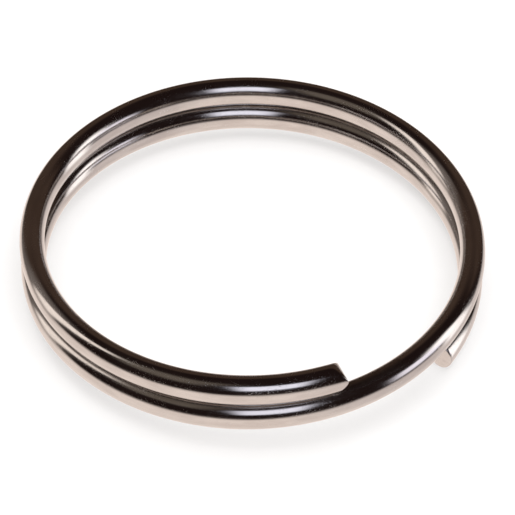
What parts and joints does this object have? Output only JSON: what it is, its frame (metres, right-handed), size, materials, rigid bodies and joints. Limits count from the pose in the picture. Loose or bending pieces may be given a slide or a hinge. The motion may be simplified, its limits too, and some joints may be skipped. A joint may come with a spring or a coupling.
{
  "type": "split key ring",
  "caption": "Split key ring of polished spring wire, wound in two closed turns that spread at the ends to thread on keys.",
  "frame": {"origin": "on the ring's axis, at the height of its lowest point", "axes": "+Z along the ring's axis, upwards as it lies on a table; the bare crossover strand between the two free ends is centred on -Y, the upper free end on its -X side and the lower free end on its +X side"},
  "size_m": [0.03, 0.03, 0.0059],
  "materials": {
    "polished_steel": "polished bright steel wire with fine handling scratches"
  },
  "bodies": {
    "coil": {"upper_turn": "polished_steel", "crossover": "polished_steel", "lower_turn": "polished_steel"},
    "upper_end": {"upper_end": "polished_steel"},
    "upper_arc_2": {"upper_arc_2": "polished_steel"},
    "upper_arc_3": {"upper_arc_3": "polished_steel"},
    "upper_arc_4": {"upper_arc_4": "polished_steel"},
    "upper_arc_5": {"upper_arc_5": "polished_steel"},
    "upper_arc_6": {"upper_arc_6": "polished_steel"},
    "lower_end": {"lower_end": "polished_steel"},
    "lower_arc_2": {"lower_arc_2": "polished_steel"},
    "lower_arc_3": {"lower_arc_3": "polished_steel"},
    "lower_arc_4": {"lower_arc_4": "polished_steel"},
    "lower_arc_5": {"lower_arc_5": "polished_steel"},
    "lower_arc_6": {"lower_arc_6": "polished_steel"}
  },
  "joints": [
    {"name": "upper_end_lift", "type": "hinge", "parent": "coil", "child": "upper_arc_6", "pos_m": [0.00415, 0.01358, 0.00404], "axis": [-0.9563, 0.2924, 0], "range_deg": [0, 1.65], "stiffness_Nm_per_rad": 0.25},
    {"name": "upper_bend_5", "type": "hinge", "parent": "upper_arc_6", "child": "upper_arc_5", "pos_m": [-0.00319, 0.01384, 0.00404], "axis": [-0.9972, -0.0746, 0], "range_deg": [0, 1.64]},
    {"name": "upper_bend_4", "type": "hinge", "parent": "upper_arc_5", "child": "upper_arc_4", "pos_m": [-0.00968, 0.01039, 0.00407], "axis": [-0.9084, -0.418, 0], "range_deg": [0, 1.37]},
    {"name": "upper_bend_3", "type": "hinge", "parent": "upper_arc_4", "child": "upper_arc_3", "pos_m": [-0.01358, 0.00415, 0.00415], "axis": [-0.7289, -0.6847, 0], "range_deg": [0, 1]},
    {"name": "upper_bend_2", "type": "hinge", "parent": "upper_arc_3", "child": "upper_arc_2", "pos_m": [-0.01384, -0.00319, 0.00432], "axis": [-0.5263, -0.8503, 0], "range_deg": [0, 0.61]},
    {"name": "upper_bend_1", "type": "hinge", "parent": "upper_arc_2", "child": "upper_end", "pos_m": [-0.01039, -0.00968, 0.00458], "axis": [-0.3733, -0.9277, 0], "range_deg": [0, 0.274]},
    {"name": "lower_end_push", "type": "hinge", "parent": "coil", "child": "lower_arc_6", "pos_m": [-0.00415, 0.01358, 0.00191], "axis": [0.9563, 0.2924, 0], "range_deg": [0, 1.65], "stiffness_Nm_per_rad": 0.25},
    {"name": "lower_bend_5", "type": "hinge", "parent": "lower_arc_6", "child": "lower_arc_5", "pos_m": [0.00319, 0.01384, 0.0019], "axis": [0.9972, -0.0746, 0], "range_deg": [0, 1.64]},
    {"name": "lower_bend_4", "type": "hinge", "parent": "lower_arc_5", "child": "lower_arc_4", "pos_m": [0.00968, 0.01039, 0.00188], "axis": [0.9084, -0.418, 0], "range_deg": [0, 1.37]},
    {"name": "lower_bend_3", "type": "hinge", "parent": "lower_arc_4", "child": "lower_arc_3", "pos_m": [0.01358, 0.00415, 0.0018], "axis": [0.7289, -0.6847, 0], "range_deg": [0, 1]},
    {"name": "lower_bend_2", "type": "hinge", "parent": "lower_arc_3", "child": "lower_arc_2", "pos_m": [0.01384, -0.00319, 0.00162], "axis": [0.5263, -0.8503, 0], "range_deg": [0, 0.61]},
    {"name": "lower_bend_1", "type": "hinge", "parent": "lower_arc_2", "child": "lower_end", "pos_m": [0.01039, -0.00968, 0.00136], "axis": [0.3733, -0.9277, 0], "range_deg": [0, 0.274]}
  ],
  "couplings": [
    {"joint": "upper_bend_5", "follows": "upper_end_lift", "ratio": 0.94393},
    {"joint": "upper_bend_4", "follows": "upper_end_lift", "ratio": 0.78991},
    {"joint": "upper_bend_3", "follows": "upper_end_lift", "ratio": 0.57614},
    {"joint": "upper_bend_2", "follows": "upper_end_lift", "ratio": 0.35207},
    {"joint": "upper_bend_1", "follows": "upper_end_lift", "ratio": 0.15802},
    {"joint": "lower_bend_5", "follows": "lower_end_push", "ratio": 0.94393},
    {"joint": "lower_bend_4", "follows": "lower_end_push", "ratio": 0.78991},
    {"joint": "lower_bend_3", "follows": "lower_end_push", "ratio": 0.57614},
    {"joint": "lower_bend_2", "follows": "lower_end_push", "ratio": 0.35207},
    {"joint": "lower_bend_1", "follows": "lower_end_push", "ratio": 0.15802}
  ]
}
